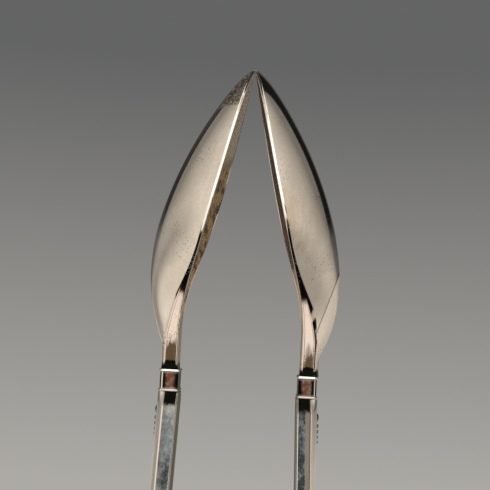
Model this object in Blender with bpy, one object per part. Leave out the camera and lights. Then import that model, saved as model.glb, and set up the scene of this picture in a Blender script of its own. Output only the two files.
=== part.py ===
# Ice tongs of the bow type: two deep spoon jaws, each on a straight arm with a
# moulded collar, joined by a sprung U-shaped bow. Metres, +Z up, jaws upward.
# The opening plane is XZ, and the middle of the bow's flat crown is the origin.
import math

import bpy
import bmesh
from mathutils import Matrix, Vector

MM = 0.001
GAP = 0.3 * MM                    # clearance between pieces that touch

# whole tool
TOTAL_HEIGHT = 170.0 * MM
TIP_OFFSET = GAP / 2              # each closed tip stands this far from the middle

# spoon: its inner rim line runs straight from the tip, then curves upright
RIM_SLANT = math.radians(14.3)    # straight stretch against the vertical
RIM_STRAIGHT = 45.2 * MM
RIM_ARC = 10.0 * MM
RIM_BOW = 0.8 * MM                # the rim line bows this far towards the middle
RIM_BOW_END = 56.0 * MM
SPOON_HEIGHT = 63.6 * MM          # tip to the collar's top
BOWL_HALF_WIDTH = 12.5 * MM
TIP_HALF_WIDTH = 0.8 * MM
BOWL_WIDEST = 30.0 * MM           # distance along the rim line from the tip
BOWL_END = 55.5 * MM              # where the bowl has narrowed into the stem
BOWL_DEEPEST = 37.0 * MM
BULGE_END = 62.0 * MM
BOWL_BULGE = 8.8 * MM             # back of the bowl beyond its rim
BOWL_WALL = 1.05 * MM
HOLLOW_DEEPEST = 36.0 * MM
HOLLOW_END = 55.0 * MM
SECTION_POWER = 0.78              # roundness of the bowl's cross-section
RIM_THICKNESS = 0.95 * MM
RIM_FACE = 0.4 * MM
RIM_SWELLS_FROM = 39.0 * MM
RIM_SWELLS_TO = 58.0 * MM
STEM_THICKNESS = 3.1 * MM
STEM_HALF_WIDTH = 2.9 * MM
FLARE_LENGTH = 1.7 * MM           # cove that spreads the stem onto the collar
FLARE_SPREAD = 0.4 * MM
BOWL_STATIONS = 22
FLARE_STATIONS = 3
SPOON_ARC_STEPS = 14

# tang under the spoon, through the collar and into the arm
TANG_HALF_THICKNESS = 0.9 * MM
TANG_HALF_WIDTH = 1.9 * MM
TANG_LENGTH = 9.0 * MM

# collar
SHOULDER_OFFSET = 14.1 * MM       # arm's centre line from the middle, at the collar's foot
COLLAR_HEIGHT = 4.6 * MM
COLLAR_HALF_THICKNESS = 2.1 * MM
COLLAR_HALF_WIDTH = 3.95 * MM
COLLAR_LIP = 0.5 * MM
COLLAR_WAIST = 0.15 * MM          # how far the body lies inside the lips
COLLAR_CHAMFER = 0.4 * MM

# arm, in its own frame: v runs down its centre line, u points away from the middle
ARM_LEAN = math.radians(2.0)
ARM_HALF_WIDTH = 4.8 * MM
ARM_HALF_THICKNESS = 2.15 * MM
ARM_SIDE_FLAT = 2.8 * MM
ARM_INNER_CHAMFER = 0.3 * MM
PANEL_HALF_WIDTH = 2.3 * MM
COVE_LENGTH = 2.3 * MM
COVE_DEPTH = 1.1 * MM
COVE_STEPS = 4
TAPER_START = 38.0 * MM
LAP_START = 62.5 * MM
LAP_THICKNESS = 1.7 * MM
LAP_HALF_WIDTH = 5.0 * MM
LAP_PANEL_HALF_WIDTH = 3.2 * MM
LAP_ROUND_START = 71.0 * MM
LAP_ROUND_STEPS = 5
ARM_LENGTH = 75.0 * MM

# bow
STRIP_THICKNESS = 1.2 * MM
STRIP_CHAMFER = 0.25 * MM
STRIP_HALF_WIDTH = 5.0 * MM
CROWN_HALF_WIDTH = 6.0 * MM
CORNER_RADIUS = 11.5 * MM         # to the middle of the strip
CORNER_STEPS = 12

# rivets through each arm's lap and the bow's leg
RIVET_PLACES = {"upper": 65.8 * MM, "lower": 70.6 * MM}
RIVET_RADIUS = 0.8 * MM
RIVET_HEAD_RADIUS = 1.5 * MM
RIVET_HEAD_HEIGHT = 0.5 * MM
RIVET_SEGMENTS = 16

# raised ornament on each arm's outer panel
LEAF_START = 2.9 * MM
LEAF_LENGTH = 2.0 * MM
LEAF_HALF_WIDTH = 1.15 * MM
LEAF_HEIGHT = 0.5 * MM
LEAF_STATIONS = 9
BEAD_COUNT = 4
BEAD_SPACE = 0.3 * MM             # between neighbouring pieces of the ornament
BEAD_FIRST_RADIUS = 0.45 * MM
BEAD_STEP_DOWN = 0.04 * MM
BEAD_SEGMENTS = 12
ORNAMENT_ARC_STEPS = 5

# joint at the middle of each half bow's bending length
PIVOT_OFFSET = 12.1 * MM
PIVOT_HEIGHT = 10.9 * MM

SIDES = {"left": -1, "right": 1}
TIP_HEIGHT = TOTAL_HEIGHT - RIM_THICKNESS * math.sin(RIM_SLANT)
COLLAR_FOOT = TOTAL_HEIGHT - SPOON_HEIGHT - COLLAR_HEIGHT
LEG_MIDDLE = -ARM_HALF_THICKNESS + STRIP_THICKNESS / 2     # u of the strip's middle
LAP_INNER = -ARM_HALF_THICKNESS + STRIP_THICKNESS + GAP    # u of the lap's inner face
LAP_OUTER = LAP_INNER + LAP_THICKNESS


def clear_scene():
    for obj in list(bpy.data.objects):
        bpy.data.objects.remove(obj)


def metal(name, colour, roughness):
    material = bpy.data.materials.new(name)
    material.use_nodes = True
    shader = material.node_tree.nodes["Principled BSDF"]
    shader.inputs["Base Color"].default_value = (*colour, 1.0)
    shader.inputs["Metallic"].default_value = 1.0
    shader.inputs["Roughness"].default_value = roughness
    return material


def finish_object(name, bm, material, sharp_degrees):
    # puts the mesh into a named object with outward faces and smooth shading
    bmesh.ops.recalc_face_normals(bm, faces=bm.faces)
    mesh = bpy.data.meshes.new(name)
    bm.to_mesh(mesh)
    bm.free()
    mesh.shade_smooth()
    mesh.set_sharp_from_angle(angle=math.radians(sharp_degrees))
    mesh.materials.append(material)
    obj = bpy.data.objects.new(name, mesh)
    bpy.context.scene.collection.objects.link(obj)
    return obj


def loft(name, rings, material, wrap=False, sharp_degrees=35):
    # joins rings of equal length with quads, and closes the two ends or joins them
    bm = bmesh.new()
    loops = [[bm.verts.new(point) for point in ring] for ring in rings]
    pairs = list(zip(loops, loops[1:]))
    if wrap:
        pairs.append((loops[-1], loops[0]))
    for near, far in pairs:
        count = len(near)
        for i in range(count):
            j = (i + 1) % count
            bm.faces.new((near[i], near[j], far[j], far[i]))
    if not wrap:
        bm.faces.new(loops[0])
        bm.faces.new(loops[-1])
    return finish_object(name, bm, material, sharp_degrees)


def hang_on(parent, objects):
    for obj in objects:
        obj.parent = parent
        obj.matrix_parent_inverse = Matrix.Translation(parent.location).inverted()


def hinge_empty(name, side):
    empty = bpy.data.objects.new(name, None)
    empty.location = (side * PIVOT_OFFSET, 0.0, PIVOT_HEIGHT)
    bpy.context.scene.collection.objects.link(empty)
    return empty


def arm_point(side, u, y, v):
    out = SHOULDER_OFFSET + v * math.sin(ARM_LEAN) + u * math.cos(ARM_LEAN)
    up = COLLAR_FOOT - v * math.cos(ARM_LEAN) + u * math.sin(ARM_LEAN)
    return Vector((side * out, y, up))


def mix(a, b, t):
    return a + (b - a) * t


# ---- spoon ----

def rim_bow(distance):
    t = min(distance / RIM_BOW_END, 1.0)
    return RIM_BOW * math.sin(math.pi * t ** 1.3)


def rim_line(distance):
    # (offset from the middle, height, slant) at a distance along the inner rim line
    radius = RIM_ARC / RIM_SLANT
    straight = min(distance, RIM_STRAIGHT)
    out = TIP_OFFSET + straight * math.sin(RIM_SLANT)
    up = TIP_HEIGHT - straight * math.cos(RIM_SLANT)
    turned = min(max(distance - RIM_STRAIGHT, 0.0), RIM_ARC) / radius
    slant = RIM_SLANT - turned
    out += radius * (math.cos(slant) - math.cos(RIM_SLANT))
    up -= radius * (math.sin(RIM_SLANT) - math.sin(slant))
    up -= max(distance - RIM_STRAIGHT - RIM_ARC, 0.0)
    return out - rim_bow(distance), up, slant


def spoon_length():
    # length of the rim line from the tip to the collar
    radius = RIM_ARC / RIM_SLANT
    drop = RIM_STRAIGHT * math.cos(RIM_SLANT) + radius * math.sin(RIM_SLANT)
    foot = TOTAL_HEIGHT - SPOON_HEIGHT
    return RIM_STRAIGHT + RIM_ARC + TIP_HEIGHT - foot - drop


def bowl_half_width(distance):
    # pointed oval that widens to the middle and narrows into the stem
    if distance < BOWL_WIDEST:
        rise = math.sin(math.pi / 2 * (distance / BOWL_WIDEST) ** 0.7)
        return mix(TIP_HALF_WIDTH, BOWL_HALF_WIDTH, rise)
    t = min((distance - BOWL_WIDEST) / (BOWL_END - BOWL_WIDEST), 1.0)
    return mix(STEM_HALF_WIDTH, BOWL_HALF_WIDTH, 0.5 + 0.5 * math.cos(math.pi * t))


def back_bulge(distance):
    # how far the bowl's back stands beyond its rim, along the middle
    bow = rim_bow(distance)
    if distance < BOWL_DEEPEST:
        return bow + BOWL_BULGE * math.sin(math.pi / 2 * distance / BOWL_DEEPEST) ** 0.78
    t = min((distance - BOWL_DEEPEST) / (BULGE_END - BOWL_DEEPEST), 1.0)
    return bow + BOWL_BULGE * max(math.cos(math.pi / 2 * t), 0.0) ** 1.25


def rim_thickness(distance):
    t = (distance - RIM_SWELLS_FROM) / (RIM_SWELLS_TO - RIM_SWELLS_FROM)
    return mix(RIM_THICKNESS, STEM_THICKNESS, min(max(t, 0.0), 1.0) ** 1.5)


def hollow_depth(distance):
    if distance < HOLLOW_DEEPEST:
        depth = back_bulge(distance) + RIM_THICKNESS - BOWL_WALL
        return max(depth, 0.0)
    t = min((distance - HOLLOW_DEEPEST) / (HOLLOW_END - HOLLOW_DEEPEST), 1.0)
    return hollow_depth(HOLLOW_DEEPEST - 1e-9) * max(math.cos(math.pi / 2 * t), 0.0)


def section_ring(half_width, hollow_half_width, back, hollow, corner):
    # (y, offset) points: over the back, across one rim, along the hollow, the other rim
    steps = range(SPOON_ARC_STEPS + 1)
    across = [-math.cos(math.pi * k / SPOON_ARC_STEPS) for k in steps]
    over_back = [(half_width * t, back(t)) for t in across]
    in_hollow = [(hollow_half_width * t, hollow(t)) for t in reversed(across)]
    return over_back + [(half_width, corner)] + in_hollow + [(-half_width, corner)]


def spoon_ring(side, distance):
    out, up, slant = rim_line(distance)
    rim = rim_thickness(distance)
    bulge = back_bulge(distance)
    depth = hollow_depth(distance)
    from_foot = spoon_length() - distance
    flare = 0.0
    if from_foot < FLARE_LENGTH:
        flare = FLARE_SPREAD * (1 - math.sqrt(1 - (1 - from_foot / FLARE_LENGTH) ** 2))
    half_width = bowl_half_width(distance) + flare

    def back(t):
        return rim + flare * 0.4 + bulge * max(1 - t * t, 0.0) ** SECTION_POWER

    def hollow(t):
        return -flare * 0.4 + depth * max(1 - t * t, 0.0) ** SECTION_POWER

    ring = section_ring(half_width, half_width - RIM_FACE, back, hollow, -flare * 0.4)
    return [
        Vector((side * (out + off * math.cos(slant)), y, up + off * math.sin(slant)))
        for y, off in ring
    ]


def tang_ring(side, up):
    def outer(t):
        return TANG_HALF_THICKNESS

    def inner(t):
        return -TANG_HALF_THICKNESS

    ring = section_ring(TANG_HALF_WIDTH, TANG_HALF_WIDTH * 0.9, outer, inner, inner(0))
    return [Vector((side * (SHOULDER_OFFSET + off), y, up)) for y, off in ring]


def spoon_distances():
    # stations along the rim line, closer together towards the tip
    length = spoon_length()
    flare_start = length - FLARE_LENGTH
    last = BOWL_STATIONS - 1
    bowl = [BOWL_END * (k / last) ** 1.2 for k in range(BOWL_STATIONS)]
    stem = [mix(BOWL_END, flare_start, t) for t in (0.35, 0.7, 1.0)]
    flare = [
        flare_start + FLARE_LENGTH * math.sin(math.pi / 2 * k / FLARE_STATIONS)
        for k in range(1, FLARE_STATIONS + 1)
    ]
    return bowl + stem + flare


def make_spoon(label, side, material):
    foot = TOTAL_HEIGHT - SPOON_HEIGHT
    rings = [spoon_ring(side, distance) for distance in spoon_distances()]
    rings.append(tang_ring(side, foot))
    rings.append(tang_ring(side, foot - TANG_LENGTH))
    return loft(f"{label}_spoon", rings, material, sharp_degrees=50)


# ---- collar ----

def chamfered_rectangle(half_u, half_y, chamfer):
    # eight (u, y) points in order round the section
    a, b = half_u - chamfer, half_y - chamfer
    return [
        (half_u, -b), (half_u, b), (a, half_y), (-a, half_y),
        (-half_u, b), (-half_u, -b), (-a, -half_y), (a, -half_y),
    ]


def make_collar(label, side, material):
    top = COLLAR_FOOT + COLLAR_HEIGHT - GAP
    waist = COLLAR_WAIST
    profile = [
        (top, COLLAR_LIP),
        (top - COLLAR_LIP, 0.0),
        (top - 2 * COLLAR_LIP, 0.0),
        (top - 2 * COLLAR_LIP - waist, waist),
        (COLLAR_FOOT + COLLAR_LIP + waist, waist),
        (COLLAR_FOOT + COLLAR_LIP, 0.0),
        (COLLAR_FOOT, 0.0),
    ]
    rings = []
    for up, inset in profile:
        outline = chamfered_rectangle(
            COLLAR_HALF_THICKNESS - inset, COLLAR_HALF_WIDTH - inset, COLLAR_CHAMFER
        )
        rings.append([Vector((side * (SHOULDER_OFFSET + u), y, up)) for u, y in outline])
    bore = chamfered_rectangle(
        TANG_HALF_THICKNESS + GAP, TANG_HALF_WIDTH + GAP, GAP / 3
    )
    for up in (COLLAR_FOOT, top):
        rings.append([Vector((side * (SHOULDER_OFFSET + u), y, up)) for u, y in bore])
    return loft(f"{label}_collar", rings, material, wrap=True)


# ---- arm ----

def arm_section(half_width, inner, side_end, outer, panel):
    # eight (u, y) points: outer panel, bevels, side flats, inner chamfers
    chamfer = ARM_INNER_CHAMFER
    return [
        (outer, -panel), (outer, panel), (side_end, half_width),
        (inner + chamfer, half_width), (inner, half_width - chamfer),
        (inner, chamfer - half_width), (inner + chamfer, -half_width),
        (side_end, -half_width),
    ]


def arm_stations():
    # (v, half width, inner u, end of the side flat, outer u, panel half width)
    inner, outer = -ARM_HALF_THICKNESS, ARM_HALF_THICKNESS
    side_end = inner + ARM_INNER_CHAMFER + ARM_SIDE_FLAT
    lap_side_end = (LAP_INNER + LAP_OUTER) / 2
    stations = []
    for k in range(COVE_STEPS + 1):
        # an ogee spreads the narrow top onto the arm's full width
        t = k / COVE_STEPS
        half_width = ARM_HALF_WIDTH - COVE_DEPTH * (1 - t * t * (3 - 2 * t))
        v = GAP + COVE_LENGTH * t
        stations.append((v, half_width, inner, side_end, outer, PANEL_HALF_WIDTH))
    stations.append(
        (TAPER_START, ARM_HALF_WIDTH, inner, side_end, outer, PANEL_HALF_WIDTH)
    )
    lap = (lap_side_end, LAP_OUTER, LAP_PANEL_HALF_WIDTH)
    stations.append((LAP_START - GAP, LAP_HALF_WIDTH, inner, *lap))
    stations.append((LAP_START, LAP_HALF_WIDTH, LAP_INNER, *lap))
    stations.append((LAP_ROUND_START, LAP_HALF_WIDTH, LAP_INNER, *lap))
    for k in range(1, LAP_ROUND_STEPS + 1):
        turn = math.radians(75) * k / LAP_ROUND_STEPS
        v = mix(LAP_ROUND_START, ARM_LENGTH, math.sin(turn) / math.sin(math.radians(75)))
        half_width = LAP_HALF_WIDTH * math.cos(turn)
        panel = LAP_PANEL_HALF_WIDTH * math.cos(turn)
        stations.append((v, half_width, LAP_INNER, lap_side_end, LAP_OUTER, panel))
    return stations


def socket_ring(side, up):
    outline = chamfered_rectangle(
        TANG_HALF_THICKNESS + GAP, TANG_HALF_WIDTH + GAP, GAP / 3
    )
    return [Vector((side * (SHOULDER_OFFSET + u), y, up)) for u, y in outline]


def make_arm(label, side, material):
    rings = [
        [arm_point(side, u, y, station[0]) for u, y in arm_section(*station[1:])]
        for station in arm_stations()
    ]
    socket_floor = TOTAL_HEIGHT - SPOON_HEIGHT - TANG_LENGTH - GAP
    socket_mouth = sum(point.z for point in rings[0]) / len(rings[0])
    socket = [socket_ring(side, socket_floor), socket_ring(side, socket_mouth)]
    return loft(f"{label}_arm", socket + rings, material, sharp_degrees=20)


# ---- bow ----

def bow_path():
    # (x, z, direction) from the left leg's top round the crown to the right leg's top
    crown_half = crown_half_length()
    corner = math.pi / 2 + ARM_LEAN
    half = [(crown_half / 2, STRIP_THICKNESS / 2, 0.0)]
    for k in range(CORNER_STEPS + 1):
        turn = corner * k / CORNER_STEPS
        x = crown_half + CORNER_RADIUS * math.sin(turn)
        z = STRIP_THICKNESS / 2 + CORNER_RADIUS * (1 - math.cos(turn))
        half.append((x, z, turn))
    tip = arm_point(1, LEG_MIDDLE, 0.0, LAP_START + GAP)
    last_x, last_z, _ = half[-1]
    for t in (0.35, 0.7, 1.0):
        half.append((mix(last_x, tip.x, t), mix(last_z, tip.z, t), corner))
    other_half = [(-x, z, -turn) for x, z, turn in reversed(half)]
    return other_half + [(0.0, STRIP_THICKNESS / 2, 0.0)] + half


def crown_half_length():
    # chosen so that the corner runs straight into the leg under the arm
    tip = arm_point(1, LEG_MIDDLE, 0.0, LAP_START + GAP)
    corner = math.pi / 2 + ARM_LEAN
    corner_out = CORNER_RADIUS * math.sin(corner)
    corner_up = STRIP_THICKNESS / 2 + CORNER_RADIUS * (1 - math.cos(corner))
    return tip.x + (tip.z - corner_up) * math.tan(ARM_LEAN) - corner_out


def make_bow(material):
    rings = []
    for x, z, turn in bow_path():
        swell = math.cos(min(abs(turn), math.pi / 2)) ** 2
        half_width = mix(STRIP_HALF_WIDTH, CROWN_HALF_WIDTH, swell)
        outline = chamfered_rectangle(STRIP_THICKNESS / 2, half_width, STRIP_CHAMFER)
        # positive n is the strip's outer face
        rings.append([
            Vector((x + n * math.sin(turn), y, z - n * math.cos(turn)))
            for n, y in outline
        ])
    return loft("bow", rings, material, sharp_degrees=25)


# ---- rivets ----

def turned_on_arm(name, side, v, profile, material, segments=RIVET_SEGMENTS):
    # turns (u, radius) pairs round an axis square to the arm's outer face
    rings = []
    for u, radius in profile:
        ring = []
        for k in range(segments):
            angle = 2 * math.pi * k / segments
            ring.append(
                arm_point(side, u, radius * math.cos(angle), v + radius * math.sin(angle))
            )
        rings.append(ring)
    return loft(name, rings, material)


def cut(target, cutter):
    cutter.hide_render = True
    cutter.display_type = "WIRE"
    modifier = target.modifiers.new(cutter.name, "BOOLEAN")
    modifier.operation = "DIFFERENCE"
    modifier.solver = "EXACT"
    modifier.object = cutter


def make_rivets(label, side, arm, bow, material):
    leg_inner = LEG_MIDDLE - STRIP_THICKNESS / 2
    rivets = []
    for place, v in RIVET_PLACES.items():
        head_out = LAP_OUTER + GAP
        head_in = leg_inner - GAP
        profile = [
            (head_in - RIVET_HEAD_HEIGHT, RIVET_HEAD_RADIUS * 0.6),
            (head_in - RIVET_HEAD_HEIGHT * 0.6, RIVET_HEAD_RADIUS * 0.9),
            (head_in, RIVET_HEAD_RADIUS),
            (head_in, RIVET_RADIUS),
            (head_out, RIVET_RADIUS),
            (head_out, RIVET_HEAD_RADIUS),
            (head_out + RIVET_HEAD_HEIGHT * 0.6, RIVET_HEAD_RADIUS * 0.9),
            (head_out + RIVET_HEAD_HEIGHT, RIVET_HEAD_RADIUS * 0.6),
        ]
        rivets.append(turned_on_arm(f"{label}_{place}_rivet", side, v, profile, material))
        hole = [(head_in - GAP, RIVET_RADIUS + GAP), (head_out + GAP, RIVET_RADIUS + GAP)]
        cutter = turned_on_arm(f"cutter_{label}_{place}", side, v, hole, material)
        cut(arm, cutter)
        cut(bow, cutter)
    return rivets


# ---- ornament ----

def make_leaf(label, side, material):
    # low pointed dome lying along the arm
    base = ARM_HALF_THICKNESS + GAP
    rings = []
    for k in range(LEAF_STATIONS):
        t = 0.04 + 0.92 * k / (LEAF_STATIONS - 1)
        fullness = math.sin(math.pi * t) ** 0.8
        ring = []
        for j in range(ORNAMENT_ARC_STEPS + 1):
            angle = math.pi * j / ORNAMENT_ARC_STEPS
            y = -LEAF_HALF_WIDTH * fullness * math.cos(angle)
            u = base + LEAF_HEIGHT * fullness * (0.15 + 0.85 * math.sin(angle))
            ring.append(arm_point(side, u, y, LEAF_START + LEAF_LENGTH * t))
        for y in (0.8, -0.8):
            corner = y * LEAF_HALF_WIDTH * fullness
            ring.append(arm_point(side, base, corner, LEAF_START + LEAF_LENGTH * t))
        rings.append(ring)
    return loft(f"{label}_leaf", rings, material, sharp_degrees=60)


def make_beads(label, side, material):
    # half-round shot in a row below the leaf, each a little smaller than the last
    base = ARM_HALF_THICKNESS + GAP
    v = LEAF_START + LEAF_LENGTH + BEAD_SPACE
    beads = []
    for number in range(1, BEAD_COUNT + 1):
        radius = BEAD_FIRST_RADIUS - BEAD_STEP_DOWN * (number - 1)
        v += radius
        profile = []
        for k in range(ORNAMENT_ARC_STEPS):
            angle = math.radians(80) * k / (ORNAMENT_ARC_STEPS - 1)
            profile.append((base + radius * math.sin(angle), radius * math.cos(angle)))
        name = f"{label}_bead_{number}"
        beads.append(turned_on_arm(name, side, v, profile, material, BEAD_SEGMENTS))
        v += radius + BEAD_SPACE
    return beads


# ---- assembly ----

def build():
    clear_scene()
    polished = metal("polished_silver", (0.83, 0.80, 0.75), 0.16)
    worn = metal("worn_silver", (0.72, 0.70, 0.67), 0.28)
    dark = metal("oxidised_silver", (0.34, 0.32, 0.30), 0.38)
    spring = metal("spring_silver", (0.78, 0.76, 0.72), 0.22)
    bow = make_bow(spring)
    for label, side in SIDES.items():
        arm = make_arm(label, side, worn)
        pieces = [
            arm,
            make_spoon(label, side, polished),
            make_collar(label, side, polished),
            make_leaf(label, side, dark),
        ]
        pieces += make_beads(label, side, dark)
        pieces += make_rivets(label, side, arm, bow, spring)
        hang_on(hinge_empty(f"{label}_hinge", side), pieces)


build()
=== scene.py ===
import math

import bmesh
import bpy
import numpy as np
from mathutils import Euler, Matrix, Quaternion, Vector


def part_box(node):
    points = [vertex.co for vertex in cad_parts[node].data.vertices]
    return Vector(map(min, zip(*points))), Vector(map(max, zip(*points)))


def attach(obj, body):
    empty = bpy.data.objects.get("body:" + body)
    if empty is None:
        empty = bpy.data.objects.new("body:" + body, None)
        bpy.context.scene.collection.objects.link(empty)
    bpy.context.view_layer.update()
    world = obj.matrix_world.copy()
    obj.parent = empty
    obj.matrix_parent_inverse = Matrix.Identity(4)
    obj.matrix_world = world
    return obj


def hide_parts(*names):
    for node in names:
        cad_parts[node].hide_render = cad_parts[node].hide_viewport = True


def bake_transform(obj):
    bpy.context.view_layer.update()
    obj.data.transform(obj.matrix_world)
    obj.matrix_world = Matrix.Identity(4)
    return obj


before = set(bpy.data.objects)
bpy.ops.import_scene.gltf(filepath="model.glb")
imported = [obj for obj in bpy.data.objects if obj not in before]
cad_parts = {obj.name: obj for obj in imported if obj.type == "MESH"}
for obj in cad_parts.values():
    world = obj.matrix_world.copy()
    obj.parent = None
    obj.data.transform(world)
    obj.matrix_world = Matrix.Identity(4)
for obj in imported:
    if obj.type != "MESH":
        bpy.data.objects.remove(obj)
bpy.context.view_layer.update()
print("frame loaded:", len(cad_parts), "nodes")

# Silver ice tongs. Shapes are worked out in millimetres and go into the meshes in metres.
# +Z is up, the jaws are at the top, and the opening plane is XZ.
mm = 0.001
sides = {"left": -1, "right": 1}


def mix(a, b, t):
    return a + (b - a) * t


def smooth(t):
    # 3t^2 - 2t^3 between 0 and 1
    t = np.clip(t, 0.0, 1.0)
    return t * t * (3 - 2 * t)


def share(value, start, end):
    # how far a value is from start to end, held between 0 and 1
    return np.clip((value - start) / (end - start), 0, 1)


def boxOf(node):
    # a CAD node's corners in millimetres
    low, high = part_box(node)
    return np.array(low) / mm, np.array(high) / mm


def stations(*stretches):
    # joins stretches (start, end, count) into one rising row of stations
    rows = [np.linspace(start, end, count) for start, end, count in stretches]
    return np.unique(np.round(np.concatenate(rows), 6))


def rounding(start, corner, end, steps):
    # curve (1-t)^2 start + 2t(1-t) corner + t^2 end, which rounds the corner off
    t = np.linspace(0, 1, steps)[:, None]
    start, corner, end = (p[..., None, :] for p in (start, corner, end))
    return (1 - t) ** 2 * start + 2 * t * (1 - t) * corner + t * t * end


def cornerRows(*corners):
    # corners (u, y), whose values run down the rows, as one array (rows, corners, 2)
    return np.stack([np.stack(np.broadcast_arrays(*pair), -1) for pair in corners], 1)


flatPlaces = np.array([0.03, 0.2, 0.4, 0.6, 0.8, 0.97])     # points along each flat


def roundedOutline(corners, trims, crowns=0.0, arcSteps=7):
    # Closed outline through the corners (rows, n, 2), each rounded over its trim length.
    # A crown lifts the middle of the flat after its corner by crown * 4f(1-f). Gives the
    # ring and a mark that is 4t(1-t) along each rounded corner.
    before = np.roll(corners, 1, axis=-2) - corners
    after = np.roll(corners, -1, axis=-2) - corners
    beforeLength = np.linalg.norm(before, axis=-1, keepdims=True)
    afterLength = np.linalg.norm(after, axis=-1, keepdims=True)
    trim = np.broadcast_to(np.asarray(trims, float), corners.shape[:-1])[..., None]
    trim = np.minimum(trim, 0.46 * np.minimum(beforeLength, afterLength))
    start = corners + before / beforeLength * trim
    end = corners + after / afterLength * trim
    arcs = rounding(start, corners, end, arcSteps)
    following = np.roll(start, -1, axis=-2)
    flats = mix(end[..., None, :], following[..., None, :], flatPlaces[:, None])
    along = np.roll(corners, -1, axis=-2)
    area = corners[..., 0] * along[..., 1] - along[..., 0] * corners[..., 1]
    turn = np.sign(area.sum(axis=-1))[..., None, None]
    outward = np.stack([after[..., 1], -after[..., 0]], -1) / afterLength * turn
    lift = np.broadcast_to(np.asarray(crowns, float), corners.shape[:-1])[..., None, None]
    flats = flats + outward[..., None, :] * lift * (4 * flatPlaces * (1 - flatPlaces))[:, None]
    ring = np.concatenate([arcs, flats], axis=-2)
    t = np.linspace(0, 1, arcSteps)
    edge = np.concatenate([4 * t * (1 - t), np.zeros(len(flatPlaces))])
    edge = np.tile(edge, corners.shape[-2])
    rows = corners.shape[0]
    return ring.reshape(rows, -1, 2), np.broadcast_to(edge, (rows, edge.size))


def domedEnd(ring, axis, depth, steps=6):
    # rings that shrink by cos and rise by sin along the axis, closing an end with a dome
    middle = ring.mean(axis=0)
    turn = np.linspace(0, math.radians(88), steps + 1)[1:, None, None]
    return middle + (ring - middle) * np.cos(turn) + np.asarray(axis) * depth * np.sin(turn)


def gridPiece(name, points, surface, marks=None, wrapRows=False, sharpAngle=42):
    # A grid of points (rows, columns, 3) whose columns close round, as a closed mesh.
    # The rows close too, or the first and last are filled. marks are point attributes.
    rows, columns = points.shape[:2]
    index = np.arange(rows * columns).reshape(rows, columns)
    near = index if wrapRows else index[:-1]
    far = np.roll(index, -1, axis=0) if wrapRows else index[1:]
    quads = np.stack([near, np.roll(near, -1, 1), np.roll(far, -1, 1), far], -1)
    faces = quads.reshape(-1, 4).tolist()
    if not wrapRows:
        faces += [index[0][::-1].tolist(), index[-1].tolist()]
    mesh = bpy.data.meshes.new(name)
    mesh.from_pydata((points * mm).reshape(-1, 3), [], faces)
    shell = bmesh.new()
    shell.from_mesh(mesh)
    bmesh.ops.recalc_face_normals(shell, faces=shell.faces)
    shell.to_mesh(mesh)
    shell.free()
    mesh.shade_smooth()
    mesh.set_sharp_from_angle(angle=math.radians(sharpAngle))
    for key, values in (marks or {}).items():
        layer = mesh.attributes.new(key, "FLOAT", "POINT")
        filled = np.broadcast_to(values, (rows, columns)).astype(np.float32)
        layer.data.foreach_set("value", np.ascontiguousarray(filled).ravel())
    return inScene(name, mesh, surface)


def inScene(name, mesh, surface):
    # an object of the mesh with its surface, linked into the scene
    mesh.materials.append(surface)
    piece = bpy.data.objects.new(name, mesh)
    bpy.context.scene.collection.objects.link(piece)
    return piece


def settle(piece, node, body):
    # the piece stands for its CAD node and moves with the node's body
    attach(piece, body)
    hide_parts(node)


class Value:
    # wraps a socket, so that Python's operators add Math nodes
    def __init__(self, graph, socket):
        self.graph = graph
        self.socket = socket

    def calc(self, operation, *operands, clamp=False):
        settings = {"operation": operation, "use_clamp": clamp}
        return self.graph.node("Math", settings, dict(enumerate(operands)))

    def __add__(self, other):
        return self.calc("ADD", self, other)

    def __sub__(self, other):
        return self.calc("SUBTRACT", self, other)

    def __rsub__(self, other):
        return self.calc("SUBTRACT", other, self)

    def __mul__(self, other):
        return self.calc("MULTIPLY", self, other)

    def __pow__(self, other):
        return self.calc("POWER", self, other)

    __radd__ = __add__
    __rmul__ = __mul__

    def clamped(self):
        return self.calc("ADD", self, 0.0, clamp=True)

    def rise(self, low, high):
        # 0 up to low, 1 from high on, and straight between; falls where low > high
        return self.calc("MULTIPLY", self - low, 1 / (high - low), clamp=True)

    def absolute(self):
        return self.calc("ABSOLUTE", self)


class Graph:
    def __init__(self, tree):
        self.tree = tree
        tree.nodes.clear()

    def node(self, kind, settings=None, inputs=None, output=0):
        # adds a node and gives one of its outputs
        made = self.tree.nodes.new("ShaderNode" + kind)
        for key, value in (settings or {}).items():
            setattr(made, key, value)
        for key, value in (inputs or {}).items():
            if isinstance(value, Value):
                self.tree.links.new(value.socket, made.inputs[key])
            else:
                made.inputs[key].default_value = value
        return Value(self, made.outputs[output]) if made.outputs else None

    def blend(self, factor, first, second):
        # mixes two colours by a factor
        first, second = (c if isinstance(c, Value) else (*c, 1.0) for c in (first, second))
        inputs = {0: factor, 6: first, 7: second}
        return self.node("Mix", {"data_type": "RGBA"}, inputs, output=2)

    def layered(self, tints, colour, *layers):
        # covers a colour, or the tint of that name, with each (mask, tint's name) in turn
        colour = tints[colour] if isinstance(colour, str) else colour
        for mask, tint in layers:
            colour = self.blend(mask, colour, tints[tint])
        return colour

    def noise(self, place, scale, detail, rough=0.55):
        # three scales in place of one draw the noise out
        if isinstance(scale, tuple):
            place, scale = self.stretched(place, scale), 1.0
        return self.node("TexNoise", {}, {
            "Vector": place, "Scale": scale, "Detail": detail, "Roughness": rough,
        })

    def stretched(self, place, scale):
        return self.node("Mapping", {}, {"Vector": place, "Scale": scale})

    def axis(self, vector, letter):
        return self.node("SeparateXYZ", {}, {"Vector": vector}, output=letter)

    def marks(self, *names):
        # the point attributes of these names
        return [self.node("Attribute", {"attribute_name": key}, output="Fac") for key in names]


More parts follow.
